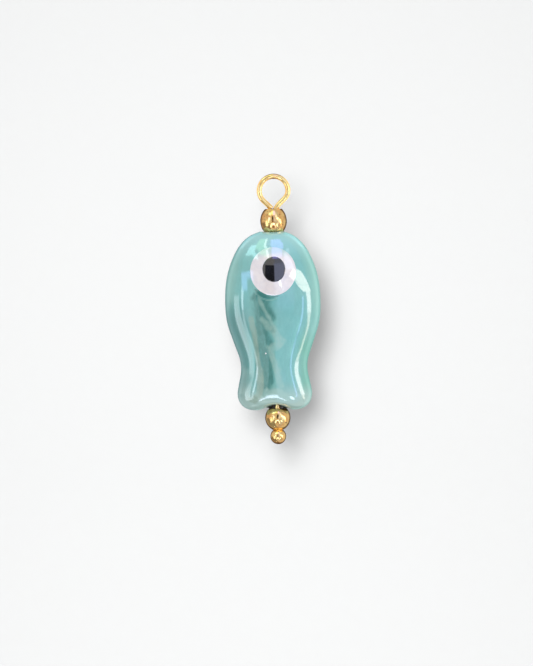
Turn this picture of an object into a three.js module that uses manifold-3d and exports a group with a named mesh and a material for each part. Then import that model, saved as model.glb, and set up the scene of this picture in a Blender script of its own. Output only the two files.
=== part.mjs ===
// Evil eye ornament: a glazed fish bead with an evil eye on each face, threaded between two
// gold-plated spacer beads on a ball head pin, whose upper end is turned into a hanging loop.
//
// Millimetres, +Z up. The origin is the centre of the loop's eye, the pin hangs down from it,
// and the front of the fish faces -Y.

import * as THREE from 'three';
import { LoftGeometry } from 'three/addons/geometries/LoftGeometry.js';
import { mergeVertices } from 'three/addons/utils/BufferGeometryUtils.js';
import Module from 'manifold-3d';

const wasm = await Module();
wasm.setup();

// ---- Driving dimensions ----

// Ball head pin, 21 gauge wire
const wireDiameter = 0.72;
const loopDiameter = 4.08;
const pinX = -0.1;
const ballDiameter = 2.14;
const solderDepth = 0.6;

// Spacer beads
const upperSpacerDiameter = 3.72;
const upperSpacerHeight = 3.2;
const lowerSpacerDiameter = 3.56;
const lowerSpacerHeight = 3;
const spacerBarrel = 1.17;
const spacerHole = 1.36;
const spacerEdge = 0.2;

// Fish bead
const fishLength = 24.93;
const fishHole = 1.8;
const fishOffset = -0.35;
const headDip = 0.1;
const tailNotch = 0.76;
const notchReach = 3;
const fishSquareness = 2.6;

// Evil eye, laid on the fish in two dots
const eyeWhiteDiameter = 6.74;
const eyeWhiteHeight = 0.24;
const eyeWhiteX = -0.27;
const eyeWhiteZ = -11.4;
const pupilDiameter = 3.55;
const pupilHeight = 0.16;
const pupilX = -0.19;
const pupilZ = -11.14;

// Fits: how freely the stack sits on the pin
const neckZ = -2.6;
const seat = 0.03;
const endPlay = 0.58;

// Where each piece of the stack sits, from the loop down
const upperSpacerZ = neckZ - upperSpacerHeight / 2;
const fishTopZ = neckZ - upperSpacerHeight - seat + headDip;
const fishNotchZ = fishTopZ - fishLength + tailNotch;
const lowerSpacerZ = fishNotchZ - endPlay - lowerSpacerHeight / 2;
const lowerSpacerBottomZ = lowerSpacerZ - lowerSpacerHeight / 2;
const ballSink = Math.sqrt((ballDiameter / 2) ** 2 - (spacerHole / 2) ** 2);
const ballZ = lowerSpacerBottomZ - ballSink - seat;

// ---- Materials ----

const goldPlate = new THREE.MeshStandardMaterial({ color: 0xf0c878, roughness: 0.18, metalness: 1 });
const tealGlaze = new THREE.MeshStandardMaterial({ color: 0x80bbb6, roughness: 0.12, metalness: 0 });
const whiteEnamel = new THREE.MeshStandardMaterial({ color: 0xe6e6ec, roughness: 0.12, metalness: 0 });
const blackEnamel = new THREE.MeshStandardMaterial({ color: 0x1c1e24, roughness: 0.12, metalness: 0 });

// ---- Solid helpers ----

function toSolid(geometry) {
	const bare = new THREE.BufferGeometry().copy(geometry);
	bare.deleteAttribute('normal');
	bare.deleteAttribute('uv');
	const merged = mergeVertices(bare);
	return new wasm.Manifold(new wasm.Mesh({
		numProp: 3,
		vertProperties: merged.attributes.position.array,
		triVerts: new Uint32Array(merged.index.array),
	}));
}

function toGeometry(solid) {
	const { vertProperties, triVerts } = solid.getMesh();
	const geometry = new THREE.BufferGeometry();
	geometry.setAttribute('position', new THREE.BufferAttribute(vertProperties, 3));
	geometry.setIndex(new THREE.BufferAttribute(triVerts, 1));
	return geometry;
}

// A lathe turns its profile about Y; the ornament's pieces stand along Z.
function turned(profile, segments) {
	return new THREE.LatheGeometry(profile, segments).rotateX(Math.PI / 2);
}

function named(name, geometry, material) {
	const mesh = new THREE.Mesh(geometry, material);
	mesh.name = name;
	return mesh;
}

// ---- Ball head pin ----

// The shank runs straight up, leans right at the neck, goes once round the loop
// and comes back down to a cut end beside the neck.
function pinCurve() {
	const shankBottomZ = ballZ + ballDiameter / 2 - solderDepth;
	const radius = loopDiameter / 2;
	const points = [
		new THREE.Vector3(pinX, 0, shankBottomZ),
		new THREE.Vector3(pinX, 0, (shankBottomZ + neckZ) / 2),
		new THREE.Vector3(pinX, 0, upperSpacerZ),
		new THREE.Vector3(0.02, 0, -3.15),
		new THREE.Vector3(0.26, 0, -2.55),
		new THREE.Vector3(0.6, 0, -2.02),
		new THREE.Vector3(1.14, 0, -1.5),
		new THREE.Vector3(1.62, 0, -1.03),
	];
	for (let degrees = -12; degrees <= 218; degrees += 23) {
		const angle = THREE.MathUtils.degToRad(degrees);
		points.push(new THREE.Vector3(radius * Math.cos(angle), 0, radius * Math.sin(angle)));
	}
	points.push(new THREE.Vector3(-1.1, 0, -1.75));
	points.push(new THREE.Vector3(-0.47, 0, -2.3));
	return new THREE.CatmullRomCurve3(points);
}

function headPin() {
	const section = new THREE.Shape().absarc(0, 0, wireDiameter / 2, 0, Math.PI * 2);
	const options = { extrudePath: pinCurve(), steps: 100, curveSegments: 5, bevelEnabled: false };
	return named('head_pin', new THREE.ExtrudeGeometry(section, options), goldPlate);
}

// The ball is soldered to the wire's end, which stands in a short socket in its top.
function ballHead() {
	const radius = ballDiameter / 2;
	const socketRadius = wireDiameter / 2 + seat;
	const socketFloor = radius - solderDepth - seat;
	const rimAngle = Math.asin(socketRadius / radius);
	const sphereSteps = 12;
	const profile = [];
	for (let i = 0; i <= sphereSteps; i++) {
		const angle = THREE.MathUtils.lerp(Math.PI, rimAngle, i / sphereSteps);
		profile.push(new THREE.Vector2(radius * Math.sin(angle), radius * Math.cos(angle)));
	}
	profile.push(new THREE.Vector2(socketRadius, socketFloor), new THREE.Vector2(0, socketFloor));
	return named('ball_head', turned(profile, 20), goldPlate);
}

// ---- Spacer beads ----

// A barrel-shaped bead, cut flat at both ends where its hole opens, with the ends' edges broken.
function spacerBead(name, diameter, height) {
	const holeRadius = spacerHole / 2;
	const radius = diameter / 2;
	const barrelRadius = radius * spacerBarrel;
	const edgeAngle = Math.asin((height / 2 - spacerEdge) / barrelRadius);
	const flatRadius = radius * Math.cos(edgeAngle) - spacerEdge;
	const bulgeSteps = 11;
	const profile = [
		new THREE.Vector2(holeRadius, -height / 2),
		new THREE.Vector2(flatRadius, -height / 2),
	];
	for (let i = 0; i <= bulgeSteps; i++) {
		const angle = THREE.MathUtils.lerp(-edgeAngle, edgeAngle, i / bulgeSteps);
		profile.push(new THREE.Vector2(radius * Math.cos(angle), barrelRadius * Math.sin(angle)));
	}
	profile.push(new THREE.Vector2(flatRadius, height / 2));
	profile.push(new THREE.Vector2(holeRadius, height / 2));
	profile.push(profile[0].clone());
	return named(name, turned(profile, 28), goldPlate);
}

// ---- Fish bead ----

// Half of the front outline, from the corner of the blunt head round the belly and the waist
// to the bottom of a tail lobe: half-width and height below the top of the head.
const fishOutline = new THREE.CatmullRomCurve3([
	new THREE.Vector3(1.7, 0, 0),
	new THREE.Vector3(3.15, 0, -0.62),
	new THREE.Vector3(4.5, 0, -1.9),
	new THREE.Vector3(5.6, 0, -3.9),
	new THREE.Vector3(6.4, 0, -6.5),
	new THREE.Vector3(6.67, 0, -9.7),
	new THREE.Vector3(6.45, 0, -12.6),
	new THREE.Vector3(5.55, 0, -15.5),
	new THREE.Vector3(4.75, 0, -17.9),
	new THREE.Vector3(4.65, 0, -19.4),
	new THREE.Vector3(5, 0, -21.3),
	new THREE.Vector3(5.22, 0, -22.8),
	new THREE.Vector3(4.76, 0, -24.18),
	new THREE.Vector3(3.1, 0, -fishLength),
]);

// Half of the side outline: half-thickness and height below the top of the head.
const fishSide = new THREE.CatmullRomCurve3([
	new THREE.Vector3(0, 0, 0),
	new THREE.Vector3(1.55, 0, -0.4),
	new THREE.Vector3(2.8, 0, -2),
	new THREE.Vector3(3.65, 0, -5),
	new THREE.Vector3(4, 0, -9),
	new THREE.Vector3(3.75, 0, -13.6),
	new THREE.Vector3(3.2, 0, -18.5),
	new THREE.Vector3(2.95, 0, -22.2),
	new THREE.Vector3(2.15, 0, -24.1),
	new THREE.Vector3(0, 0, -fishLength),
]);

// The distance from the centre line at which an outline passes a height.
function widthAt(outline, z) {
	const points = outline.getPoints(240);
	const below = points.findIndex((point) => point.z <= z);
	if (below < 1) {
		return points.at(below).x;
	}
	const upper = points[below - 1];
	const lower = points[below];
	return THREE.MathUtils.mapLinear(z, upper.z, lower.z, upper.x, lower.x);
}

// One cross-section, a rounded rectangle bent up or down at its middle.
function fishSection(halfWidth, halfThickness, z) {
	const sides = 44;
	const towardsHead = Math.max(0, 1 + z / notchReach) ** 2;
	const towardsTail = Math.max(0, 1 - (z + fishLength) / notchReach) ** 2;
	const bend = tailNotch * towardsTail - headDip * towardsHead;
	const points = [];
	for (let i = 0; i < sides; i++) {
		const angle = (-2 * Math.PI * i) / sides;
		const across = Math.sign(Math.cos(angle)) * Math.abs(Math.cos(angle)) ** (2 / fishSquareness);
		const through = Math.sign(Math.sin(angle)) * Math.abs(Math.sin(angle)) ** (2 / fishSquareness);
		const lift = (bend * (1 + Math.cos(Math.PI * across))) / 2;
		points.push(new THREE.Vector3(halfWidth * across, halfThickness * through, z + lift));
	}
	return points;
}

// The front surface's distance in front of the fish's middle plane.
function fishFront(x, z) {
	const across = Math.abs(x) / widthAt(fishOutline, z);
	return widthAt(fishSide, z) * (1 - across ** fishSquareness) ** (1 / fishSquareness);
}

// The sections follow the outline, closer together at the head and the tail.
function fishBead() {
	const rows = 34;
	const sections = [];
	for (let i = 0; i <= rows; i++) {
		const along = (1 - Math.cos((Math.PI * i) / rows)) / 2;
		const { x, z } = fishOutline.getPointAt(along);
		const atEnd = i === 0 || i === rows;
		sections.push(fishSection(x, atEnd ? 0 : widthAt(fishSide, z), z));
	}
	const body = toSolid(new LoftGeometry(sections));
	const drill = new THREE.CylinderGeometry(fishHole / 2, fishHole / 2, fishLength + 2, 24);
	drill.rotateX(Math.PI / 2).translate(-fishOffset, 0, -fishLength / 2);
	return named('fish_bead', toGeometry(body.subtract(toSolid(drill))), tealGlaze);
}

// ---- Evil eye ----

// A low domed dot laid on the front of the fish: its flat side follows the surface below it.
function eyeDot(diameter, height, x, z, lift) {
	const radius = diameter / 2;
	const profile = [
		new THREE.Vector2(0, 0),
		new THREE.Vector2(radius / 2, 0),
		new THREE.Vector2(radius, 0),
		new THREE.Vector2(radius, height * 0.3),
		new THREE.Vector2(radius * 0.94, height * 0.62),
		new THREE.Vector2(radius * 0.75, height * 0.85),
		new THREE.Vector2(radius * 0.4, height * 0.97),
		new THREE.Vector2(0, height),
	];
	const geometry = new THREE.LatheGeometry(profile, 28).rotateX(Math.PI);
	geometry.translate(x - pinX - fishOffset, -lift, z - fishTopZ);
	const position = geometry.attributes.position;
	for (let i = 0; i < position.count; i++) {
		position.setY(i, position.getY(i) - fishFront(position.getX(i), position.getZ(i)));
	}
	return geometry;
}

// Both dots of one face, on the front, or turned about the fish's middle to the back.
function evilEye(side) {
	const white = eyeDot(eyeWhiteDiameter, eyeWhiteHeight, eyeWhiteX, eyeWhiteZ, seat);
	const pupil = eyeDot(pupilDiameter, pupilHeight, pupilX, pupilZ, 2 * seat + eyeWhiteHeight);
	const eye = new THREE.Group();
	eye.add(named(`eye_white_${side}`, white, whiteEnamel));
	eye.add(named(`pupil_${side}`, pupil, blackEnamel));
	eye.rotation.z = side === 'back' ? Math.PI : 0;
	return eye;
}

// ---- Assembly ----

const upperSpacer = spacerBead('upper_spacer_bead', upperSpacerDiameter, upperSpacerHeight);
upperSpacer.position.set(pinX, 0, upperSpacerZ);

const fish = new THREE.Group();
fish.add(fishBead(), evilEye('front'), evilEye('back'));
fish.position.set(pinX + fishOffset, 0, fishTopZ);

const lowerSpacer = spacerBead('lower_spacer_bead', lowerSpacerDiameter, lowerSpacerHeight);
lowerSpacer.position.set(pinX, 0, lowerSpacerZ);

const ball = ballHead();
ball.position.set(pinX, 0, ballZ);

const ornament = new THREE.Group();
ornament.add(headPin(), upperSpacer, fish, lowerSpacer, ball);

export default ornament;
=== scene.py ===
"""Looks of the evil eye ornament: a teal glazed fish bead between gold-plated spacer beads
on a ball head pin with a turned loop.

Lengths in this script are millimetres in the CAD frame (+Z up the pin, front towards -Y,
origin at the loop's eye). They become metres only where a mesh, light or camera is made.
"""

import math

import bpy
import numpy as np
from mathutils import Matrix, Vector


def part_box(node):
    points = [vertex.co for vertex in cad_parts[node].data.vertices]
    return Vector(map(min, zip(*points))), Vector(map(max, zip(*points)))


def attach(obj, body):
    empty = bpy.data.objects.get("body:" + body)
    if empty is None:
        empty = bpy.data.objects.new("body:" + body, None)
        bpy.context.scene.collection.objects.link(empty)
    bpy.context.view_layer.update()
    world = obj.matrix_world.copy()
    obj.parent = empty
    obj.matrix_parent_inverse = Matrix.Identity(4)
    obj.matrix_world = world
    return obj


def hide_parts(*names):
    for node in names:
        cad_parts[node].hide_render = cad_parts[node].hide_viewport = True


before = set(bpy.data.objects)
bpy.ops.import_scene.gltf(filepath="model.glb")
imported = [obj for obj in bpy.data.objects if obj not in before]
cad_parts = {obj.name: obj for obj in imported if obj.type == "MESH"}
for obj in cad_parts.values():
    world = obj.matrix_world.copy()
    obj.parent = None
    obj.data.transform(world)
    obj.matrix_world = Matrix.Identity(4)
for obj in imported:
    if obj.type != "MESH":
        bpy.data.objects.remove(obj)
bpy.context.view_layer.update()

MM = 0.001


# ---- Sizes taken from the frame ----

def box_mm(node):
    low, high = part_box(node)
    return np.array(low) / MM, np.array(high) / MM


pin_low, pin_high = box_mm("head_pin")
ball_low, ball_high = box_mm("ball_head")
fish_low, fish_high = box_mm("fish_bead")
white_low, white_high = box_mm("eye_white_front")
pupil_low, pupil_high = box_mm("pupil_front")
upper_low, upper_high = box_mm("upper_spacer_bead")
lower_low, lower_high = box_mm("lower_spacer_bead")

WIRE = (pin_high[1] - pin_low[1]) / 2
LOOP = (pin_high[0] - pin_low[0]) / 2 - WIRE
PIN_X = (ball_low[0] + ball_high[0]) / 2
NECK_Z = upper_high[2]
BALL_FULLNESS = 1.04
BALL = (ball_high[0] - ball_low[0]) / 2 * BALL_FULLNESS
BALL_Z = (ball_low[2] + ball_high[2]) / 2
FISH_X = (fish_low[0] + fish_high[0]) / 2
FISH_TOP = fish_high[2]
FISH_LENGTH = fish_high[2] - fish_low[2]
FISH_HALF_WIDTH = (fish_high[0] - fish_low[0]) / 2
FISH_HALF_THICKNESS = (fish_high[1] - fish_low[1]) / 2
WHITE_X = (white_low[0] + white_high[0]) / 2
WHITE_Z = (white_low[2] + white_high[2]) / 2
WHITE_RADIUS = (white_high[0] - white_low[0]) / 2
PUPIL_X = (pupil_low[0] + pupil_high[0]) / 2
PUPIL_Z = (pupil_low[2] + pupil_high[2]) / 2


# ---- Curves ----

def centripetal(points, per_span):
    """Catmull-Rom curve through given points, with the same spacing rule as the CAD's."""
    p = np.array(points, float)
    p = np.vstack([2 * p[0] - p[1], p, 2 * p[-1] - p[-2]])
    out = []
    for p0, p1, p2, p3 in zip(p, p[1:], p[2:], p[3:]):
        t1 = np.linalg.norm(p1 - p0) ** 0.5
        t2 = t1 + np.linalg.norm(p2 - p1) ** 0.5
        t3 = t2 + np.linalg.norm(p3 - p2) ** 0.5
        t = np.linspace(t1, t2, per_span, endpoint=False)[:, None]
        a1 = (t1 - t) / t1 * p0 + t / t1 * p1
        a2 = (t2 - t) / (t2 - t1) * p1 + (t - t1) / (t2 - t1) * p2
        a3 = (t3 - t) / (t3 - t2) * p2 + (t - t2) / (t3 - t2) * p3
        b1 = (t2 - t) / t2 * a1 + t / t2 * a2
        b2 = (t3 - t) / (t3 - t1) * a2 + (t - t1) / (t3 - t1) * a3
        out.append((t2 - t) / (t2 - t1) * b1 + (t - t1) / (t2 - t1) * b2)
    return np.vstack(out + [p[-2][None]])


def even(curve, count):
    """The same curve in equal steps."""
    along = np.concatenate([[0], np.cumsum(np.linalg.norm(np.diff(curve, axis=0), axis=1))])
    at = np.linspace(0, along[-1], count)
    return np.stack([np.interp(at, along, curve[:, i]) for i in range(curve.shape[1])], axis=1)


def relaxed(curve, reach):
    """The curve with its curvature evened out over a few steps, and its ends kept."""
    before = 2 * curve[0] - curve[reach:0:-1]
    after = 2 * curve[-1] - curve[-2:-reach - 2:-1]
    padded = np.vstack([before, curve, after])
    weight = np.cos(np.linspace(-math.pi / 2, math.pi / 2, 2 * reach + 3)[1:-1]) ** 2
    weight /= weight.sum()
    return np.stack([np.convolve(padded[:, i], weight, "valid") for i in range(curve.shape[1])], axis=1)


def smoothstep(x, low, high):
    t = np.clip((x - low) / (high - low), 0, 1)
    return t * t * (3 - 2 * t)


def ripple(p, seed, size):
    """A smooth wandering field of about -1 to 1 over the points, made of a few sine waves."""
    rng = np.random.default_rng(seed)
    total = np.zeros(len(p))
    waves = 7
    for _ in range(waves):
        direction = rng.normal(size=3)
        direction /= np.linalg.norm(direction)
        length = size * rng.uniform(0.7, 1.6)
        total += np.sin(p @ direction * (2 * math.pi / length) + rng.uniform(0, 2 * math.pi))
    return total / math.sqrt(waves)


# ---- Meshes ----

def make_piece(name, verts, faces, body, nodes, material):
    mesh = bpy.data.meshes.new(name)
    mesh.from_pydata((np.asarray(verts) * MM).tolist(), [], faces)
    mesh.validate()
    mesh.update()
    mesh.polygons.foreach_set("use_smooth", [True] * len(mesh.polygons))
    mesh.materials.append(material)
    piece = bpy.data.objects.new(name, mesh)
    bpy.context.scene.collection.objects.link(piece)
    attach(piece, body)
    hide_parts(*nodes)
    return piece


def grid_faces(rows, columns, closed_rows=False):
    """Quads of a grid whose rows are closed rings; closed_rows joins the last row to the first."""
    faces = []
    for i in range(rows if closed_rows else rows - 1):
        for j in range(columns):
            a = i * columns + j
            b = i * columns + (j + 1) % columns
            c = (i + 1) % rows * columns + (j + 1) % columns
            d = (i + 1) % rows * columns + j
            faces.append((a, b, c, d))
    return faces


def lathe(profile, segments):
    """A ring of points for each (radius, height) of the profile, round the Z axis."""
    angle = np.linspace(0, 2 * math.pi, segments, endpoint=False)
    ring = np.stack([np.cos(angle), np.sin(angle)], axis=1)
    rows = [np.column_stack([ring * r, np.full(segments, z)]) for r, z in profile]
    return np.vstack(rows)


def arc(centre, radius, start, end, steps):
    """Points (radius, height) of a profile's arc, from start to end in degrees."""
    angle = np.radians(np.linspace(start, end, steps))
    return [(centre[0] + radius * math.cos(a), centre[1] + radius * math.sin(a)) for a in angle]


# ---- Materials ----

def linear(code):
    """A hex colour in the shader's linear values."""
    parts = [int(code[i:i + 2], 16) / 255 for i in (0, 2, 4)]
    return tuple(c / 12.92 if c <= 0.04045 else ((c + 0.055) / 1.055) ** 2.4 for c in parts) + (1.0,)


class Nodes:
    """A node tree, with short calls for the nodes this script uses."""

    def __init__(self, tree):
        self.tree = tree

    def node(self, kind, inputs, **settings):
        node = self.tree.nodes.new(kind)
        for key, value in settings.items():
            setattr(node, key, value)
        for key, value in inputs.items():
            self.put(node.inputs[key], value)
        return node

    def put(self, socket, value):
        if isinstance(value, bpy.types.NodeSocket):
            self.tree.links.new(value, socket)
        else:
            socket.default_value = value

    def math(self, operation, a, b=0.0):
        return self.node("ShaderNodeMath", {0: a, 1: b}, operation=operation).outputs[0]

    def product(self, *factors):
        total = factors[0]
        for factor in factors[1:]:
            total = self.math("MULTIPLY", total, factor)
        return total

    def ramp(self, value, low, high, start=0.0, end=1.0):
        inputs = {"Value": value, "From Min": low, "From Max": high, "To Min": start, "To Max": end}
        return self.node("ShaderNodeMapRange", inputs, interpolation_type="SMOOTHSTEP").outputs["Result"]

    def ramp_line(self, value, low, high, start, end):
        inputs = {"Value": value, "From Min": low, "From Max": high, "To Min": start, "To Max": end}
        return self.node("ShaderNodeMapRange", inputs, clamp=False).outputs["Result"]

    def mix(self, factor, a, b):
        node = self.node("ShaderNodeMix", {}, data_type="RGBA")
        for key, value in ((0, factor), (6, a), (7, b)):
            self.put(node.inputs[key], value)
        return node.outputs[2]

    def parts(self, vector):
        return self.node("ShaderNodeSeparateXYZ", {0: vector}).outputs

    def length(self, vector):
        return self.node("ShaderNodeVectorMath", {0: vector}, operation="LENGTH").outputs["Value"]

    def noise(self, place, scale, detail=2.0, rough=0.5, distortion=0.0):
        inputs = {"Vector": place, "Scale": scale, "Detail": detail,
                  "Roughness": rough, "Distortion": distortion}
        return self.node("ShaderNodeTexNoise", inputs).outputs["Fac"]


class Shader(Nodes):
    """One material's nodes, round its Principled shader."""

    def __init__(self, name):
        self.material = bpy.data.materials.new(name)
        self.material.use_nodes = True
        super().__init__(self.material.node_tree)
        self.surface = self.tree.nodes["Principled BSDF"]
        self.where = self.node("ShaderNodeTexCoord", {}).outputs["Object"]

    def placed(self, centre=(0, 0, 0), stretch=(1, 1, 1)):
        """The surface point in millimetres from centre, stretched."""
        moved = self.node("ShaderNodeVectorMath", {0: self.where, "Scale": 1 / MM}, operation="SCALE")
        moved = self.node("ShaderNodeVectorMath", {0: moved.outputs[0], 1: centre}, operation="SUBTRACT")
        inputs = {"Vector": moved.outputs[0], "Scale": stretch}
        return self.node("ShaderNodeMapping", inputs).outputs[0]

    def painted(self, name):
        """The red, green and blue of a colour painted on the mesh."""
        paint = self.node("ShaderNodeAttribute", {}, attribute_name=name).outputs["Color"]
        return self.node("ShaderNodeSeparateColor", {0: paint}).outputs

    def bump(self, height, distance):
        inputs = {"Height": height, "Distance": distance * MM, "Strength": 1.0}
        self.put(self.surface.inputs["Normal"], self.node("ShaderNodeBump", inputs).outputs[0])

    def set(self, **values):
        for key, value in values.items():
            self.put(self.surface.inputs[key.replace("_", " ")], value)


def gold_plate(name, bright, warm, unevenness, polish):
    """Bright gold plating: uneven buffing, cloudy wear to a redder tone and tiny pits."""
    s = Shader(name)
    cloud = s.noise(s.placed(), 0.9, 3, 0.6)
    dents = s.noise(s.placed((2, 7, 1)), 1.9, 2, 0.5)
    fine = s.noise(s.placed((4, 1, 2)), 6.0, 3, 0.6)
    pits = s.ramp(s.noise(s.placed((9, 5, 3)), 3.6, 1, 0.4), 0.66, 0.72)
    tone = s.mix(s.ramp(cloud, 0.35, 0.7), linear(bright), linear(warm))
    tone = s.mix(s.product(pits, unevenness, 0.7), tone, linear("4a3218"))
    buffed = s.ramp(fine, 0.3, 0.8, polish, polish + 0.07)
    rough = s.math("ADD", buffed, s.product(pits, unevenness, 0.25))
    s.set(Base_Color=tone, Metallic=1.0, Roughness=rough)
    height = s.math("ADD", s.product(cloud, 0.8), s.product(dents, 1.2))
    height = s.math("ADD", height, s.product(fine, 0.05))
    s.bump(height, 0.014 * unevenness)
    return s.material


# Where the lustre turns grainy on the left of the fish, from its middle, and how grainy it is
# before and after.
GRAINY_SIDE = (-2.0, -3.4)
GRAININESS = (0.006, 0.06)


def lustre(s):
    """The shiny lustre glaze over every fired colour, with its slight orange peel, which is
    coarser on the left side of the fish."""
    s.set(Roughness=0.35, IOR=1.5, Coat_Weight=1.0, Coat_Roughness=0.035, Coat_IOR=2.05)
    swell = s.noise(s.placed(), 0.5, 2, 0.5)
    peel = s.noise(s.placed(), 3.2, 2, 0.5)
    speckle = s.noise(s.placed((1, 2, 3)), 7.0, 1, 0.5)
    x = s.parts(s.placed((FISH_X, 0, 0)))[0]
    graininess = s.ramp(x, *GRAINY_SIDE, *GRAININESS)
    height = s.math("ADD", swell, s.math("MULTIPLY", peel, 0.05))
    s.bump(s.math("ADD", height, s.math("MULTIPLY", speckle, graininess)), 0.05)
    return s.material


# Where the tone changes, from the middle of the head's top: where each change starts and
# where it is full. The darker tone low on the left is painted shade, and the paler crown is
# partly the glaze's tone and partly painted light from above.
PAINTED_SHADE_X = (-2.4, -4.4)
PAINTED_SHADE_Z = (-8.0, -13.0)
GREEN_X = (3.0, 4.5)
GREEN_Z = (-13.0, -17.0)
GREEN_END_Z = (-23.5, -21.5)
CROWN_Z = (-5.0, -0.6)

# The middle of the painted glint in a pinhole, from the same point, and the outside and inside
# of its soft edge.
PINHOLE_GLINT = (-1.14, -3.25, -17.0)
PINHOLE_GLINT_RADIUS = (0.12, 0.07)


def teal_glaze():
    """Teal glaze: deep pools, paler feathers and an olive vein painted on the mesh, with painted
    shadow and highlight along the eye's lower edge where the glaze also pools, a paler tone at
    the rim and the tail, a paler crown that is partly painted light from above, painted shade
    low on the left, green low on the right, a painted glint in a pinhole on the front, and
    near-black paint in the hole for bare clay and the shade deep inside."""
    s = Shader("teal_glaze")
    x, _, z = s.parts(s.placed((FISH_X, 0, FISH_TOP)))[:3]
    deep, feather_and_highlight, vein = s.painted("glaze")[:3]
    pale, rim, eye_pool_and_shadow = s.painted("thin")[:3]
    fine = s.noise(s.placed((0, 0, 0), (1, 1, 0.5)), 1.6, 5, 0.65, 0.4)
    cloud = s.noise(s.placed((3, 0, 0)), 0.3, 3, 0.5)
    grain = s.ramp(fine, 0.35, 0.65)
    tone = s.mix(s.ramp(cloud, 0.35, 0.65), linear("68bab8"), linear("72bdba"))
    tone = s.mix(s.product(grain, 0.3), tone, linear("5aa9a7"))
    tone = s.mix(rim, tone, linear("88cbc2"))
    # Painted shade: the glaze darkens low on the left.
    shade = s.product(s.ramp(x, *PAINTED_SHADE_X), s.ramp(z, *PAINTED_SHADE_Z))
    tone = s.mix(shade, tone, linear("5c9b99"))
    green = s.product(s.ramp(x, *GREEN_X), s.ramp(z, *GREEN_Z), s.ramp(z, *GREEN_END_Z))
    tone = s.mix(green, tone, linear("5cb5a5"))
    tone = s.mix(pale, tone, linear("aacac4"))
    # A paler crown: partly the glaze's tone, partly painted light from above.
    tone = s.mix(s.ramp(z, *CROWN_Z), tone, linear("93d3d6"))
    tone = s.mix(s.product(deep, s.ramp(fine, 0.3, 0.62, 0.7, 1.0)), tone, linear("2b8480"))
    # Paler feathers, and the painted highlight below the eye.
    tone = s.mix(s.product(feather_and_highlight, s.ramp(fine, 0.3, 0.6, 0.3, 0.62)), tone, linear("a3cdc5"))
    tone = s.mix(s.product(vein, s.ramp(fine, 0.3, 0.7, 0.85, 0.55)), tone, linear("93b0a1"))
    # Painted shadow along the eye's lower edge, where the glaze also pools.
    tone = s.mix(eye_pool_and_shadow, tone, linear("3f8079"))
    # A painted glint in a pinhole: a small white dot.
    glint_place = (FISH_X + PINHOLE_GLINT[0], PINHOLE_GLINT[1], FISH_TOP + PINHOLE_GLINT[2])
    pinhole = s.length(s.placed(glint_place, (1, 0.25, 1)))
    tone = s.mix(s.ramp(pinhole, *PINHOLE_GLINT_RADIUS), tone, linear("ffffff"))
    # Near-black paint in the hole: bare clay and painted shade deep inside.
    tone = s.mix(s.painted("hole")[0], tone, linear("120f0d"))
    s.set(Base_Color=tone)
    return lustre(s)


# How far above the middle of the eye the glaze's tint starts, and where it is full.
TINT_ABOVE = (1.9, 3.2)


def fired(name, base, shade, glazed_over, gloss):
    """An opaque fired colour, a little cloudy, under the same lustre glaze, which is thick
    enough to tint it towards the top of the eye."""
    s = Shader(name)
    cloud = s.noise(s.placed(), 0.8, 3, 0.6)
    tone = s.mix(s.ramp(cloud, 0.3, 0.75), linear(base), linear(shade))
    above = s.math("ADD", s.parts(s.placed((0, 0, WHITE_Z)))[2], s.math("MULTIPLY", cloud, 0.6))
    tone = s.mix(s.ramp(above, *TINT_ABOVE), tone, linear(glazed_over))
    s.set(Base_Color=tone, Specular_IOR_Level=gloss)
    return lustre(s)


GOLD = gold_plate("gold_plate", "f6d48e", "e6b070", 1.0, 0.12)
GOLD_WIRE = gold_plate("gold_wire", "fde19c", "f2c780", 0.15, 0.17)
TEAL = teal_glaze()
WHITE = fired("white_enamel", "f4ecef", "e4dfe8", "bcdcdc", 0.5)
BLACK = fired("black_enamel", "0e0f13", "1a1c26", "1a1c26", 0.1)


# ---- Head pin ----

def wire_path():
    """Centre line in (x, z): up the shank, right at the neck, round the loop to the cut end."""
    points = [
        (PIN_X, BALL_Z + BALL * 0.5),
        (PIN_X, (BALL_Z + NECK_Z) / 2),
        (PIN_X, (upper_low[2] + upper_high[2]) / 2),
        (0.02, -3.15),
        (0.26, -2.55),
        (0.6, -2.02),
        (1.14, -1.5),
        (1.62, -1.03),
    ]
    for degrees in range(-12, 219, 23):
        angle = math.radians(degrees)
        points.append((LOOP * math.cos(angle), LOOP * math.sin(angle)))
    points += [(-1.13, -1.7), (-0.33, -2.5)]
    return relaxed(even(centripetal(points, 40), 520), 6)


def head_pin():
    path = wire_path()
    sides = 24
    tangent = np.gradient(path, axis=0)
    tangent /= np.linalg.norm(tangent, axis=1)[:, None]
    normal = np.column_stack([-tangent[:, 1], tangent[:, 0]])
    angle = np.linspace(0, 2 * math.pi, sides, endpoint=False)
    rows = []

    def ring(at, radius):
        side = np.outer(np.cos(angle), normal[at]) * radius + path[at]
        rows.append(np.column_stack([side[:, 0], np.sin(angle) * radius, side[:, 1]]))

    burr = 0.05
    for radius in (0.02, WIRE - burr):
        ring(0, radius)
    for at in range(len(path)):
        from_end = (len(path) - 1 - at) * np.linalg.norm(path[-1] - path[-2])
        ring(at, WIRE - burr * (1 - min(1, from_end / burr)) ** 2)
    ring(len(path) - 1, WIRE * 0.5)
    ring(len(path) - 1, 0.02)
    verts = np.vstack(rows)
    tip_rings = 20
    clear_of_bead = 0.02
    tip = verts[-tip_rings * sides:]
    tip[:, 2] = np.maximum(tip[:, 2], NECK_Z + clear_of_bead)
    return make_piece("wire", verts, grid_faces(len(rows), sides), "pin", ["head_pin"],
                      GOLD_WIRE)


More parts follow.
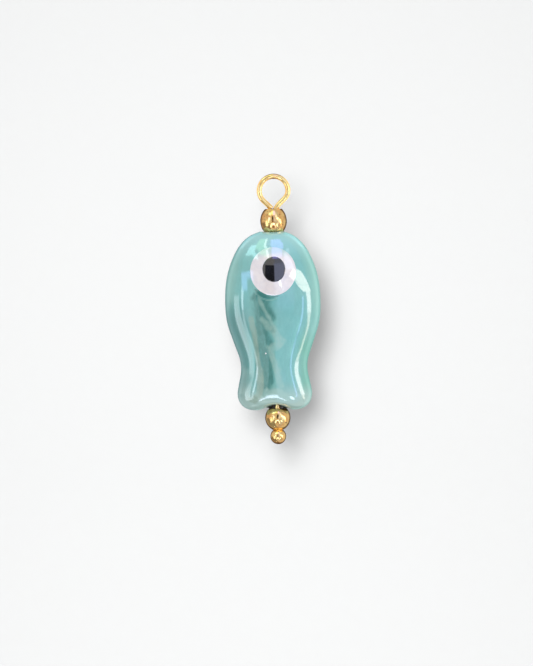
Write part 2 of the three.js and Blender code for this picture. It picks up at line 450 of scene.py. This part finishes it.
def ball_head():
    """The ball, fused to the wire with a small fillet."""
    segments = 56
    neck = WIRE + 0.03
    top = math.degrees(math.acos(neck / BALL))
    profile = [(0.01, -BALL)] + arc((0, 0), BALL, -88, top - 6, 44)
    joint_z = BALL * math.sin(math.radians(top))
    fillet = [(neck + 0.05, -0.01), (neck + 0.01, 0.06), (neck - 0.02, 0.16), (WIRE - 0.1, 0.17)]
    profile += [(radius, joint_z + rise) for radius, rise in fillet]
    verts = lathe(profile, segments)
    verts *= 1 + 0.006 * ripple(verts, 5, 1.6)[:, None]
    verts += (PIN_X, 0, BALL_Z)
    return make_piece("ball", verts, grid_faces(len(profile), segments), "pin", ["ball_head"],
                      GOLD)


# ---- Spacer beads ----

BEAD_HOLE = 0.55


def bead_end(radius, barrel, height):
    """Profile of one end of a bead: an elliptical side (barrel is the ellipse's half-height),
    a small rolled edge, the flat end and the hole's lip."""
    roll, lip = 0.06, 0.03
    edge = math.asin((height - roll) / (barrel - roll))
    side = [(radius * math.cos(a), barrel * math.sin(a)) for a in np.linspace(0, edge, 26)]
    start = math.degrees(math.atan(math.tan(edge) * radius / barrel))
    shoulder_r = side[-1][0] - roll * math.cos(math.radians(start))
    shoulder = arc((shoulder_r, height - roll), roll, start, 90, 8)[1:]
    flat = [(r, height) for r in np.linspace(shoulder_r, BEAD_HOLE + lip, 4)[1:]]
    mouth = arc((BEAD_HOLE + lip, height - lip), lip, 90, 180, 5)[1:]
    return side + shoulder + flat + mouth


def spacer_bead(body, low, high, fullness, widest, seed):
    """A plated bead with a hole through. Its side is an ellipse, fullness times as high as it
    is wide and widest that far above the bead's middle, and its ends are cut flat."""
    radius = (high[0] - low[0]) / 2
    half = (high[2] - low[2]) / 2
    top = bead_end(radius, radius * fullness, half - widest)
    bottom = [(r, -z) for r, z in bead_end(radius, radius * fullness, half + widest)]
    bore = [(BEAD_HOLE, z) for z in np.linspace(top[-1][1], bottom[-1][1], 7)[1:-1]]
    profile = bottom[:0:-1] + top + bore
    segments = 72
    verts = lathe(profile, segments)
    dents = 0.006 * ripple(verts, seed, 1.7) + 0.003 * ripple(verts, seed + 1, 0.8)
    verts[:, :2] *= (1 + dents)[:, None]
    verts += ((low[0] + high[0]) / 2, 0, (low[2] + high[2]) / 2 + widest)
    faces = grid_faces(len(profile), segments, closed_rows=True)
    return make_piece(body, verts, faces, body, [f"{body}_bead"], GOLD)


# ---- Fish bead ----

# Half of the front outline below the top of the head: half-width, height.
FISH_OUTLINE = [
    (1.7, 0), (3.15, -0.62), (4.5, -1.9), (5.6, -3.9), (6.4, -6.5), (6.67, -9.7), (6.45, -12.6),
    (5.55, -15.5), (4.75, -17.9), (4.65, -19.4), (5.0, -21.3), (5.22, -22.8), (4.76, -24.1),
    (3.75, -24.8), (2.9, -24.93), (2.5, -24.93),
]
# Half of the side outline: half-thickness, height.
FISH_SIDE = [
    (0, 0), (1.35, -0.06), (1.9, -0.5), (2.8, -2), (3.65, -5), (4, -9), (3.75, -13.6),
    (3.2, -18.5), (2.95, -22.2), (2.6, -24.1), (1.95, -24.8), (0, -24.93),
]
HEAD_DIP = 0.1
TAIL_NOTCH = 0.76
NOTCH_REACH = 3.0
HOLE_RADIUS = 0.9
EYE_SWELL = 0.3
EYE_SWELL_REACH = 1.12
# A nub round the hole fills the back of the notch: how much of it, and how far it reaches
# sideways from the pin, where it starts to fall and where it ends.
BACK_LIP = 0.9
BACK_LIP_REACH = (0.9, 2.1)


def outline_curve(points, full_width):
    """An outline scaled to the CAD fish, as an even, smooth line."""
    curve = relaxed(even(centripetal(points, 40), 600), 14)
    curve[:, 0] *= full_width / curve[:, 0].max()
    curve[:, 1] *= FISH_LENGTH / -curve[:, 1].min()
    return curve


front_line = outline_curve(FISH_OUTLINE, FISH_HALF_WIDTH)
side_line = outline_curve(FISH_SIDE, FISH_HALF_THICKNESS)


def half_width(z):
    return np.interp(-z, -front_line[:, 1], front_line[:, 0])


def half_thickness(z):
    return np.interp(-z, -side_line[:, 1], side_line[:, 0])


def squareness(z):
    """How square the cross-section is: squarish at the head, an ellipse from the waist down."""
    return 2.5 - 0.5 * smoothstep(-z, 8, 17)


def eye_swell(x, z):
    """How far the glaze stands out over the eye's enamel."""
    away = np.hypot(x - (WHITE_X - FISH_X), z - (WHITE_Z - FISH_TOP))
    away /= WHITE_RADIUS * EYE_SWELL_REACH
    return EYE_SWELL * np.clip(1 - away ** 2, 0, 1) ** 2


def fish_front(x, z):
    """Distance of the front surface from the fish's middle plane, without the eye's swell."""
    power = squareness(z)
    across = np.clip(np.abs(x) / half_width(z), 0, 1)
    return half_thickness(z) * (1 - across ** power) ** (1 / power)


def fish_verts(rows, sides):
    along = (1 - np.cos(np.linspace(0, math.pi, rows))) / 2
    steps = np.linspace(0, 1, len(front_line))
    width = np.interp(along, steps, front_line[:, 0])
    z = np.interp(along, steps, front_line[:, 1])
    thick = half_thickness(z)
    thick[0] = 0
    thick[-1] = 0
    angle = -np.linspace(0, 2 * math.pi, sides, endpoint=False)
    power = 2 / squareness(z)[:, None]
    across = np.sign(np.cos(angle)) * np.abs(np.cos(angle)) ** power
    through = np.sign(np.sin(angle)) * np.abs(np.sin(angle)) ** power
    head = np.clip(1 + z / NOTCH_REACH, 0, None) ** 2
    tail = np.clip(1 - (z + FISH_LENGTH) / NOTCH_REACH, 0, None) ** 2
    x = width[:, None] * across
    y = thick[:, None] * through
    from_pin = np.abs(x + FISH_X - PIN_X)
    lip = BACK_LIP * smoothstep(y, 0, 1) * (1 - smoothstep(from_pin, *BACK_LIP_REACH))
    bend = TAIL_NOTCH * tail[:, None] * (1 - lip) - HEAD_DIP * head[:, None]
    height = z[:, None] + bend * (1 + np.cos(math.pi * across)) / 2
    y += np.sign(y) * eye_swell(x * np.where(y > 0, -1, 1), height) * (np.abs(through) > 0)
    return np.stack([x, y, height], axis=2).reshape(-1, 3)


# The drill's outline as radius and height, from past the head to past the tail, where it flares
# in two slopes to the mouth. Its ends are closed by a ring too small to see.
THROAT_RADIUS = 1.15
MOUTH_RADIUS = 1.8
DRILL_TIP = 0.001
DRILL = [
    (DRILL_TIP, 1.5),
    (HOLE_RADIUS, 1.5),
    (HOLE_RADIUS, -FISH_LENGTH + 1.9),
    (THROAT_RADIUS, -FISH_LENGTH + 0.78),
    (MOUTH_RADIUS, -FISH_LENGTH + 0.33),
    (MOUTH_RADIUS, -FISH_LENGTH - 0.5),
    (DRILL_TIP, -FISH_LENGTH - 0.5),
]


def drilled(piece):
    """Cuts the bead's hole, which opens into a wider mouth at the tail."""
    segments = 64
    verts = lathe(DRILL[::-1], segments) + (PIN_X, 0, FISH_TOP)
    mesh = bpy.data.meshes.new("drill")
    mesh.from_pydata((verts * MM).tolist(), [], grid_faces(len(DRILL), segments))
    drill = bpy.data.objects.new("drill", mesh)
    bpy.context.scene.collection.objects.link(drill)
    cut = piece.modifiers.new("hole", "BOOLEAN")
    cut.operation = "DIFFERENCE"
    cut.solver = "EXACT"
    cut.object = drill
    depsgraph = bpy.context.evaluated_depsgraph_get()
    result = bpy.data.meshes.new_from_object(piece.evaluated_get(depsgraph))
    piece.modifiers.clear()
    piece.data = result
    bpy.data.objects.remove(drill)


def paint_hole_clay_and_shade(mesh):
    """Marks the faces inside the hole, painted near black: bare clay instead of glaze, and
    painted shade deep in the hole.
    """
    centre = np.empty(len(mesh.polygons) * 3)
    mesh.polygons.foreach_get("center", centre)
    centre = centre.reshape(-1, 3) / MM - (PIN_X, 0, FISH_TOP)
    radius, height = np.array(DRILL[1:-1]).T
    wall = np.interp(-centre[:, 2], -height, radius)
    inside = np.hypot(centre[:, 0], centre[:, 1]) < wall + 0.01
    corners = np.empty(len(mesh.polygons), int)
    mesh.polygons.foreach_get("loop_total", corners)
    shade = np.repeat(inside.astype(np.float32), corners)
    layer = mesh.color_attributes.new("hole", "FLOAT_COLOR", "CORNER")
    layer.data.foreach_set("color", np.repeat(shade, 4))


# Brush strokes in the glaze, in (x, z) from the middle of the head's top: points, half-width at
# the first and last point, and softness of the edge. The back has the same strokes.
DEEP_STROKES = [
    ([(-1.6, -9.4), (-1.5, -12.3), (-1.6, -15.5), (-1.4, -19.0), (-1.5, -21.6)], 0.6, 0.55, 1.1),
    ([(-2.5, -9.1), (-2.1, -10.5), (-1.8, -12.2)], 0.35, 0.2, 0.5),
    ([(-1.0, -10.0), (-0.5, -11.1), (-0.1, -12.2)], 0.15, 0.1, 0.5),
    ([(-2.0, -11.9), (-1.2, -12.7), (-0.1, -14.0)], 0.4, 0.15, 0.4),
    ([(-1.9, -13.6), (-1.3, -14.6), (-0.9, -15.6)], 0.5, 0.5, 0.5),
    ([(-1.5, -16.5), (-1.4, -18.5), (-1.6, -20.8)], 0.2, 0.25, 0.4),
    ([(-0.8, -17.8), (-0.6, -19.4), (-0.5, -20.9)], 0.15, 0.25, 0.5),
]
FEATHER_STROKES = [
    ([(-1.97, -9.35), (-1.32, -10.7), (-0.65, -12.0), (0.3, -13.8)], 0.08, 0.06, 0.3),
    ([(-1.5, -12.2), (-0.4, -13.6), (0.4, -14.6), (0.9, -15.5)], 0.05, 0.45, 0.45),
    ([(0.9, -15.5), (0.3, -16.0), (-0.6, -16.2)], 0.5, 0.15, 0.4),
    ([(-0.45, -16.7), (-0.1, -18.0), (0.43, -19.4), (0.8, -21.6)], 0.2, 0.25, 0.4),
    ([(-1.0, -22.4), (0.3, -22.6), (1.6, -23.2)], 0.3, 0.3, 0.5),
]
VEIN_STROKES = [
    ([(-3.14, -12.1), (-2.6, -15.2), (-2.2, -18.0), (-1.95, -20.7), (-2.3, -22.8),
      (-3.1, -23.5)], 0.15, 0.3, 0.4),
]
# A dark line along the eye's lower edge: painted shadow under the raised white, where the glaze also
# pools.
EYE_EDGE_POOL_AND_SHADOW = ([(-2.4, -8.15), (-1.5, -8.93), (-0.4, -9.24), (0.7, -9.1)], 0.05, 0.03, 0.16)
# A pale line below it: painted highlight on the step, where the glaze also pools. It is painted with the
# feathers.
EYE_POOL_AND_HIGHLIGHT = ([(-2.3, -8.7), (-1.43, -9.4), (-0.33, -9.66), (0.5, -9.45)], 0.02, 0.02, 0.14)

# The pale rim, as a share of the half-width, and how far down it fades and how much, on either
# side; its full fade on the left is part of the painted shade there. The tail is pale all over,
# from how far down.
RIM_ACROSS = (0.7, 0.95)
RIM_FADE = (9, 15)
LEFT_RIM_FADES = 1
RIGHT_RIM_FADES = 0.7
PALE_TAIL = (20.5, 24.0)
# Moves the back's strokes to another part of the wandering field, so that the faces differ.
BACK_FIELD = 40


def stroke(x, z, points, first, last, soft):
    """How strongly a brush stroke covers each place, from 0 to 1."""
    line = centripetal(points, 8)
    nearest = np.full(len(x), np.inf)
    along = np.zeros(len(x))
    for i, (a, b) in enumerate(zip(line, line[1:])):
        step = b - a
        t = np.clip(((x - a[0]) * step[0] + (z - a[1]) * step[1]) / (step @ step), 0, 1)
        away = np.hypot(x - a[0] - t * step[0], z - a[1] - t * step[1])
        closer = away < nearest
        nearest = np.where(closer, away, nearest)
        along = np.where(closer, (i + t) / (len(line) - 1), along)
    half = first + (last - first) * along
    return 1 - smoothstep(nearest, half, half + soft)


def strokes(x, z, rows):
    cover = np.zeros(len(x))
    for row in rows:
        cover = np.maximum(cover, stroke(x, z, *row))
    return cover


def paint(mesh, name, channels):
    """Stores three values per vertex as a colour for the material to read."""
    colour = np.column_stack(list(channels) + [np.ones(len(mesh.vertices))])
    layer = mesh.color_attributes.new(name, "FLOAT_COLOR", "POINT")
    layer.data.foreach_set("color", colour.astype(np.float32).ravel())


def paint_glaze(mesh):
    """Paints the glaze's pools, feathers, veins and thin places, from where each vertex is."""
    place = np.empty(len(mesh.vertices) * 3)
    mesh.vertices.foreach_get("co", place)
    place = place.reshape(-1, 3) / MM - (FISH_X, 0, FISH_TOP)
    face = np.where(place[:, 1] > 0, -1.0, 1.0)
    x, z = place[:, 0] * face, place[:, 2]
    none = np.zeros(len(face))
    wander = place * (1, 1, 0.6) + np.column_stack([none, BACK_FIELD * (face < 0), none])
    wavy_x = x + 0.08 * ripple(wander, 31, 2.2) + 0.05 * ripple(wander, 32, 0.7)
    wavy_z = z + 0.15 * ripple(wander, 33, 1.8) + 0.06 * ripple(wander, 34, 0.6)
    on_face = smoothstep(np.abs(place[:, 1]), 1.0, 2.0)
    deep = strokes(wavy_x, wavy_z, DEEP_STROKES) * on_face
    feather_and_highlight = strokes(wavy_x, wavy_z, FEATHER_STROKES) * on_face
    # The painted highlight below the eye goes in with the feathers.
    feather_and_highlight = np.maximum(feather_and_highlight, stroke(x, z, *EYE_POOL_AND_HIGHLIGHT) * on_face * 0.9)
    vein = strokes(wavy_x, wavy_z, VEIN_STROKES) * on_face
    paint(mesh, "glaze", (deep, feather_and_highlight, vein))
    across = np.abs(place[:, 0]) / half_width(z)
    fade = smoothstep(-z, *RIM_FADE) * np.where(x < 0, LEFT_RIM_FADES, RIGHT_RIM_FADES)
    rim = smoothstep(across, *RIM_ACROSS) * (1 - fade)
    pale = smoothstep(-z, *PALE_TAIL) * (1 - 0.3 * deep)
    # Painted shadow along the eye's lower edge, stored with the thin places.
    edge_pool_and_shadow = stroke(x, z, *EYE_EDGE_POOL_AND_SHADOW) * on_face
    paint(mesh, "thin", (0.9 * pale, 0.8 * rim, 0.8 * edge_pool_and_shadow))


def fish_bead():
    rows, sides = 260, 320
    verts = fish_verts(rows, sides) + (FISH_X, 0, FISH_TOP)
    faces = grid_faces(rows, sides)
    piece = make_piece("fish", verts, faces, "fish", ["fish_bead"], TEAL)
    drilled(piece)
    paint_glaze(piece.data)
    paint_hole_clay_and_shade(piece.data)
    piece.data.set_sharp_from_angle(angle=math.radians(35))
    return piece


# ---- Evil eye ----

# Half-width and half-height of each dot, how far it lies left of the CAD's, and its rise.
WHITE_RADII = (3.21, 3.39)
WHITE_LEFT = 0.06
WHITE_RISE = 0.02
PUPIL_RADII = (1.63, 1.82)
PUPIL_LEFT = 0.03
PUPIL_RISE = 0.04


def eye_dot(part, side, centre, radii, rise, material):
    """A thin fired dot on the swelling of the glaze, its edge sunk into the surface."""
    segments = 96
    rings = np.concatenate([[0.002], np.linspace(0.05, 1, 40)[:-1], [1.0, 1.012]])
    lift = rise * (1 - smoothstep(rings, 0.93, 1.012)) - 0.02 * smoothstep(rings, 0.98, 1.012)
    angle = np.linspace(0, 2 * math.pi, segments, endpoint=False)
    verts = []
    for share, up in zip(rings, lift):
        x = centre[0] - FISH_X + radii[0] * share * np.cos(angle)
        z = centre[1] - FISH_TOP + radii[1] * share * np.sin(angle)
        y = -(fish_front(x, z) + eye_swell(x, z) + up)
        verts.append(np.column_stack([x, y, z]))
    verts = np.vstack(verts)
    if side == "back":
        verts[:, :2] *= -1
    verts += (FISH_X, 0, FISH_TOP)
    node = f"{part}_{side}"
    faces = grid_faces(len(rings), segments)
    return make_piece(f"{node}_dot", verts, faces, "fish", [node], material)


def white_dot(side):
    centre = (WHITE_X - WHITE_LEFT, WHITE_Z)
    return eye_dot("eye_white", side, centre, WHITE_RADII, WHITE_RISE, WHITE)


def pupil_dot(side):
    centre = (PUPIL_X - PUPIL_LEFT, PUPIL_Z)
    return eye_dot("pupil", side, centre, PUPIL_RADII, PUPIL_RISE, BLACK)


# ---- Assembly ----

wire = head_pin()
ball_head()
spacer_bead("upper_spacer", upper_low, upper_high, fullness=1.17, widest=-0.05, seed=11)
spacer_bead("lower_spacer", lower_low, lower_high, fullness=1.03, widest=0.2, seed=23)
fish = fish_bead()
front_white = white_dot("front")
pupil_dot("front")
white_dot("back")
pupil_dot("back")


# ---- Camera ----

# The view is square on to the front, a little to the left of the pin and below its middle,
# and rolled so that the loop leans left.
FRAME_HEIGHT = 93.2
VIEW_CENTRE = (-1.43, -19.9)
VIEW_DISTANCE = 260.0
ROLL = math.radians(1.27)
SENSOR = 36.0


def camera():
    data = bpy.data.cameras.new("camera")
    data.sensor_width = SENSOR
    data.lens = SENSOR * VIEW_DISTANCE / FRAME_HEIGHT
    data.clip_start = 0.005
    data.clip_end = 20
    cam = bpy.data.objects.new("camera", data)
    bpy.context.scene.collection.objects.link(cam)
    right = Vector((math.cos(ROLL), 0, -math.sin(ROLL)))
    up = Vector((math.sin(ROLL), 0, math.cos(ROLL)))
    turn = Matrix((right, up, Vector((0, -1, 0)))).transposed().to_4x4()
    place = Vector((VIEW_CENTRE[0], -VIEW_DISTANCE, VIEW_CENTRE[1])) * MM
    cam.matrix_world = Matrix.Translation(place) @ turn
    bpy.context.scene.camera = cam


camera()


# ---- Stage and light ----

WALL_Y = 175.0
FLOOR_Z = -170.0
SWEEP = 120.0
PAPER_REACH = (450.0, 700.0)
FLOOR_FADE = (-110.0, -165.0)
PALE = linear("f9fafa")

PANEL_DISTANCE = 110.0

# Width and height, offset to the right and up from the camera, and power.
SHADOW_LAMPS = [
    ("shadow_lamp_near", 9.0, 12.0, -4.0, 5.0, 1.45),
    ("shadow_lamp_wide", 17.0, 22.0, -5.0, 7.0, 1.4),
]

# Panels that show only in the pieces named: azimuth from the front towards +X, elevation, width
# and height, in degrees, and light.
FISH_PANELS = [
    ("rim_right", 140, 0, 82, 100, (0.21, 0.47, 0.43)),
    ("rim_left", -140, 0, 82, 100, (0.11, 0.25, 0.28)),
    ("rim_top", 180, 62, 90, 40, (0.42, 0.72, 0.76)),
]
EYE_PANELS = [
    ("eye_streak", 11, 3, 4, 9, (3.4, 4.0, 4.0)),
]
WIRE_PANELS = [
    ("wire_right", 130, 0, 90, 100, (0.8, 0.72, 0.58)),
    ("wire_front", -5, 15, 18, 36, (0.5, 0.47, 0.36)),
    ("wire_left", -130, 0, 90, 100, (0.66, 0.56, 0.44)),
]

# What the glaze and the gold reflect: low and high elevation, left and right azimuth at the low
# end and at the high end (from the front towards +X), softness, all in degrees, and its light.
REFLECTED = [
    ("room on the right", (-90, 90), (3, 60), (3, 60), 2, (0.66, 0.7, 0.84)),
    ("body", (-45, 0), (-16, 6), (-12, 2), 2, (0.28, 0.15, 0.1)),
    ("floor on the left", (-90, -3), (-122, -33), (-122, -33), 4, (0.3, 0.3, 0.3)),
    ("beside the photographer", (-6, 34), (1, 24), (1, 24), 3, (0.85, 0.92, 1.3)),
    ("photographer", (-1, 31), (-15, 2), (-15, 2), 1, (0.02, 0.02, 0.025)),
    ("cyan pane", (36, 53), (-57, -27), (-54, -30), 1, (2.0, 3.0, 3.0)),
    ("green pane", (43, 70), (-29, -8), (-36, -8), 1, (1.4, 2.1, 1.3)),
    ("bright bar", (43, 70), (-10, -6), (-11, -6), 1, (3.4, 3.8, 3.2)),
    ("blue pane", (42, 67), (-1, 19), (0, 22), 1, (1.6, 1.5, 3.4)),
    ("pale pane", (21, 45), (25, 44), (23, 31), 1, (1.5, 1.7, 2.1)),
    ("right window, low", (-27, -12), (75, 82), (59, 71), 2, (3.2, 2.8, 2.4)),
    ("right window", (-12, 5), (58, 74), (51, 67), 2, (4.4, 3.9, 3.8)),
    ("right window, shelf", (4, 9), (43, 72), (29, 64), 1, (4.8, 4.2, 3.9)),
    ("right window, top", (9, 21), (29, 64), (38, 43), 1, (4.8, 4.2, 3.9)),
    ("right sky strip", (-20, 0), (43, 47), (40, 44), 1, (1.6, 2.0, 3.4)),
    ("left window, pane", (-28, 2), (-77, -56), (-74, -53), 2, (1.9, 2.0, 2.0)),
    ("left window, outer", (-28, -4), (-72, -65), (-74, -68), 1, (2.1, 2.3, 2.45)),
    ("left window, middle", (-28, -4), (-55, -49), (-60, -54), 1, (1.7, 1.9, 2.0)),
    ("left window, speckled", (-16, 8), (-42, -29), (-38, -28), 3, (0.75, 0.85, 0.9)),
    ("left window, inner, low", (-24, -9), (-52, -45), (-47, -42), 2, (1.7, 1.9, 2.0)),
    ("left window, inner", (-9, 10), (-47, -42), (-45, -38), 1, (2.9, 3.3, 3.6)),
    ("left sky", (6, 20), (-42, -30), (-52, -34), 2, (1.6, 2.0, 3.2)),
    ("table edge", (-28, -18), (-19, 9), (-15, 5), 2, (3.8, 4.3, 5.2)),
    ("table edge, left", (-42, -25), (-35, -27), (-24, -14), 2, (3.4, 3.8, 4.4)),
    ("table edge, right", (-50, -26), (18, 24), (5, 11), 2, (3.2, 3.6, 4.4)),
    ("low window", (-33, -20), (33, 42), (27, 36), 1, (4.4, 5.4, 6.0)),
    ("low window, far", (-19, -15), (37, 42), (37, 42), 2, (1.0, 1.4, 1.4)),
    ("glint from below", (-74, -62), (-94, -80), (-94, -80), 3, (2.0, 2.1, 2.1)),
]
ROOM_LEFT = (0.78, 0.74, 0.7, 1)
ROOM_BEHIND = (0.14, 0.11, 0.09, 1)
BEHIND_AZIMUTH = (115, 145)

# The even light on the surfaces, and how much more of it comes from +X and from above.
DIFFUSE_LIGHT = 0.9
FROM_RIGHT = 0.35
FROM_ABOVE = 0.22


def backdrop():
    """A pale paper sweep: a floor well below, curving up into a wall behind, fading far out.
    The floor is paler to the camera than to the light, so it doesn't brighten the object."""
    far = 900
    profile = [(-far, FLOOR_Z), (WALL_Y - SWEEP, FLOOR_Z)]
    profile += arc((WALL_Y - SWEEP, FLOOR_Z + SWEEP), SWEEP, -85, -5, 17)
    profile += [(WALL_Y, FLOOR_Z + SWEEP), (WALL_Y, far)]
    verts = [(x, y, z) for y, z in profile for x in (-far, far)]
    faces = [(2 * i, 2 * i + 1, 2 * i + 3, 2 * i + 2) for i in range(len(profile) - 1)]
    mesh = bpy.data.meshes.new("paper_sweep")
    mesh.from_pydata((np.array(verts) * MM).tolist(), [], faces)
    mesh.polygons.foreach_set("use_smooth", [True] * len(mesh.polygons))
    s = Shader("paper")
    grain = s.noise(s.placed(), 0.4, 4, 0.6)
    shade = s.mix(grain, linear("a8a8a8"), linear("a9aaaa"))
    away = s.length(s.placed())
    seen = s.node("ShaderNodeLightPath", {}).outputs["Is Camera Ray"]
    floor = s.ramp(s.parts(s.placed())[2], *FLOOR_FADE)
    shade = s.mix(s.product(floor, seen), shade, linear("f8f8f8"))
    solid = s.ramp(away, *PAPER_REACH, 1, 0)
    s.set(Base_Color=shade, Roughness=0.9, Specular_IOR_Level=0.0, Alpha=solid)
    mesh.materials.append(s.material)
    sweep = bpy.data.objects.new("paper_sweep", mesh)
    bpy.context.scene.collection.objects.link(sweep)
    sweep.visible_glossy = False
    return sweep


def light_only(light, piece):
    """Makes a light shine on the given object only."""
    lit = bpy.data.collections.new("lit_by_" + light.name)
    lit.objects.link(piece)
    light.light_linking.receiver_collection = lit


def area_light(name, width, height, power, colour=(1, 1, 1), shape="RECTANGLE"):
    data = bpy.data.lights.new(name, "AREA")
    data.shape = shape
    data.size = width * MM
    data.size_y = height * MM
    data.energy = power
    data.color = colour
    light = bpy.data.objects.new(name, data)
    bpy.context.scene.collection.objects.link(light)
    light.visible_camera = False
    return light


def shadow_lamps(paper):
    """Two soft lamps beside the camera that light only the paper, for the shadow on it."""
    for name, width, height, right, up, power in SHADOW_LAMPS:
        light = area_light(name, width, height, power, shape="ELLIPSE")
        light.location = Vector((VIEW_CENTRE[0] + right, -VIEW_DISTANCE, VIEW_CENTRE[1] + up)) * MM
        light.rotation_euler = (math.pi / 2, 0, 0)
        light.visible_glossy = False
        light_only(light, paper)


def rim_panel(name, azimuth, elevation, width, height, colour, piece):
    """A panel that shows only in the given piece, round the height of the view's centre."""
    a, e = math.radians(azimuth), math.radians(elevation)
    direction = Vector((math.sin(a) * math.cos(e), -math.cos(a) * math.cos(e), math.sin(e)))
    wide = 2 * PANEL_DISTANCE * math.tan(math.radians(width) / 2)
    tall = 2 * PANEL_DISTANCE * math.tan(math.radians(height) / 2)
    power = math.pi * wide * tall * MM * MM
    light = area_light(name, wide, tall, power, colour)
    light.location = (Vector((0, 0, VIEW_CENTRE[1])) + direction * PANEL_DISTANCE) * MM
    light.rotation_euler = direction.to_track_quat("Z", "Y").to_euler()
    light.visible_diffuse = False
    light_only(light, piece)


def studio_world():
    """Pale to the camera, soft and even on the surfaces, and a room in the reflections."""
    world = bpy.data.worlds.new("studio")
    world.use_nodes = True
    bpy.context.scene.world = world
    world.node_tree.nodes.clear()
    n = Nodes(world.node_tree)
    x, y, z = n.parts(n.node("ShaderNodeTexCoord", {}).outputs["Generated"])[:3]
    azimuth = n.math("DEGREES", n.math("ARCTAN2", x, n.math("MULTIPLY", y, -1)))
    elevation = n.math("DEGREES", n.math("ARCSINE", z))
    behind = n.ramp(n.math("ABSOLUTE", azimuth), *BEHIND_AZIMUTH)
    room = n.mix(behind, ROOM_LEFT, ROOM_BEHIND)
    for _, (low, high), at_low, at_high, soft, light in REFLECTED:
        left, right = (n.ramp_line(elevation, low, high, at_low[i], at_high[i]) for i in (0, 1))
        cover = n.product(
            n.ramp(n.math("SUBTRACT", azimuth, left), -soft, soft),
            n.ramp(n.math("SUBTRACT", azimuth, right), soft, -soft),
            n.ramp(elevation, low - soft, low + soft),
            n.ramp(elevation, high + soft, high - soft),
        )
        room = n.mix(cover, room, light + (1,))
    slope = n.math("ADD", n.math("MULTIPLY", x, FROM_RIGHT), n.math("MULTIPLY", z, FROM_ABOVE))
    level = n.product(n.math("ADD", slope, 1), DIFFUSE_LIGHT)
    even_light = n.node("ShaderNodeCombineColor", {0: level, 1: level, 2: level}).outputs[0]
    path = n.node("ShaderNodeLightPath", {}).outputs
    light = n.mix(path["Is Glossy Ray"], even_light, room)
    light = n.mix(path["Is Camera Ray"], light, PALE)
    background = n.node("ShaderNodeBackground", {"Color": light}).outputs[0]
    n.node("ShaderNodeOutputWorld", {"Surface": background})


shadow_lamps(backdrop())
for piece, panels in ((fish, FISH_PANELS), (front_white, EYE_PANELS), (wire, WIRE_PANELS)):
    for panel in panels:
        rim_panel(*panel, piece)
studio_world()
bpy.context.scene.view_settings.view_transform = "Standard"
